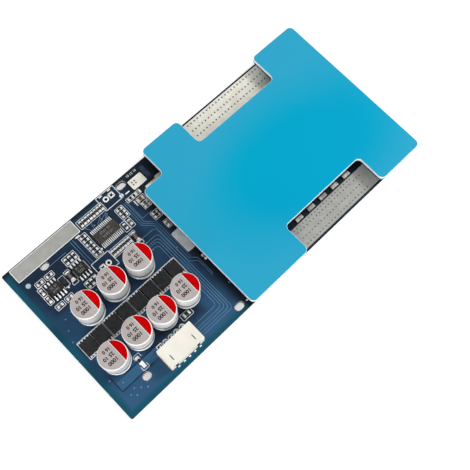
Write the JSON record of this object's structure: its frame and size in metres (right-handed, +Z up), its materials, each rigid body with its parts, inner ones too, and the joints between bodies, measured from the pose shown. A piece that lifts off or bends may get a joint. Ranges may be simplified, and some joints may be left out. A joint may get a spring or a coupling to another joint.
{
  "type": "battery management board",
  "caption": "Circuit board that protects and balances a battery pack, with capacitors at one end and a notched blue heat plate over the power transistors at the other",
  "frame": {"origin": "middle of the footprint of the whole part, on the surface that it stands on", "axes": "+X along the board from the capacitors to the heat plate, +Y towards the long tinned pad, +Z up from the component side"},
  "size_m": [0.1418, 0.0676, 0.0155],
  "materials": {
    "solder_mask": "glossy dark blue solder mask over copper traces",
    "blue_anodised": "satin blue anodising with bright bare edges",
    "tinned_copper": "copper pads levelled with solder",
    "can_aluminium": "drawn aluminium with printed top",
    "bung_rubber": "black rubber",
    "tinned_leads": "bright tin plating",
    "ivory_nylon": "off-white moulded nylon",
    "black_epoxy": "black moulded epoxy",
    "resistor_glaze": "black glaze with white ends",
    "capacitor_ceramic": "tan ceramic with tinned ends",
    "diode_glass": "glass tube with silver caps",
    "shunt_alloy": "bare resistance alloy strip",
    "gap_filler": "soft grey silicone pad",
    "spacer_brass": "plain brass",
    "screw_steel": "zinc plated steel"
  },
  "bodies": {
    "root": {"balance_switch_1": "black_epoxy", "balance_switch_2": "black_epoxy", "balance_switch_3": "black_epoxy", "balance_switch_4": "black_epoxy", "balance_switch_5": "black_epoxy", "balance_switch_6": "black_epoxy", "balance_switch_7": "black_epoxy", "balance_switch_8": "black_epoxy", "balance_switch_frames": "tinned_leads", "battery_pad": "tinned_copper", "bung_1": "bung_rubber", "bung_2": "bung_rubber", "bung_3": "bung_rubber", "bung_4": "bung_rubber", "bung_5": "bung_rubber", "bung_6": "bung_rubber", "bung_7": "bung_rubber", "can_1": "can_aluminium", "can_2": "can_aluminium", "can_3": "can_aluminium", "can_4": "can_aluminium", "can_5": "can_aluminium", "can_6": "can_aluminium", "can_7": "can_aluminium", "capacitor_leads": "tinned_leads", "cell_pad": "tinned_copper", "charge_thermal_pad": "gap_filler", "charge_transistor_frames": "tinned_leads", "charge_transistors": "black_epoxy", "chip_capacitors": "capacitor_ceramic", "chip_resistors": "resistor_glaze", "circuit_board": "solder_mask", "clamp_diode": "black_epoxy", "discharge_thermal_pad": "gap_filler", "discharge_transistor_frames": "tinned_leads", "discharge_transistors": "black_epoxy", "driver_chip_a": "black_epoxy", "driver_chip_b": "black_epoxy", "driver_leads": "tinned_leads", "glass_diode_1": "diode_glass", "glass_diode_2": "diode_glass", "header_housing": "ivory_nylon", "header_pins": "tinned_leads", "heat_plate": "blue_anodised", "link_pad": "tinned_copper", "monitor_chip": "black_epoxy", "monitor_leads": "tinned_leads", "pack_pad": "tinned_copper", "plate_screws": "screw_steel", "plate_spacers": "spacer_brass", "return_pad": "tinned_copper", "shunt_1": "shunt_alloy", "shunt_2": "shunt_alloy", "shunt_3": "shunt_alloy", "shunt_4": "shunt_alloy", "shunt_5": "shunt_alloy", "tap_pad": "tinned_copper"}
  },
  "joints": []
}
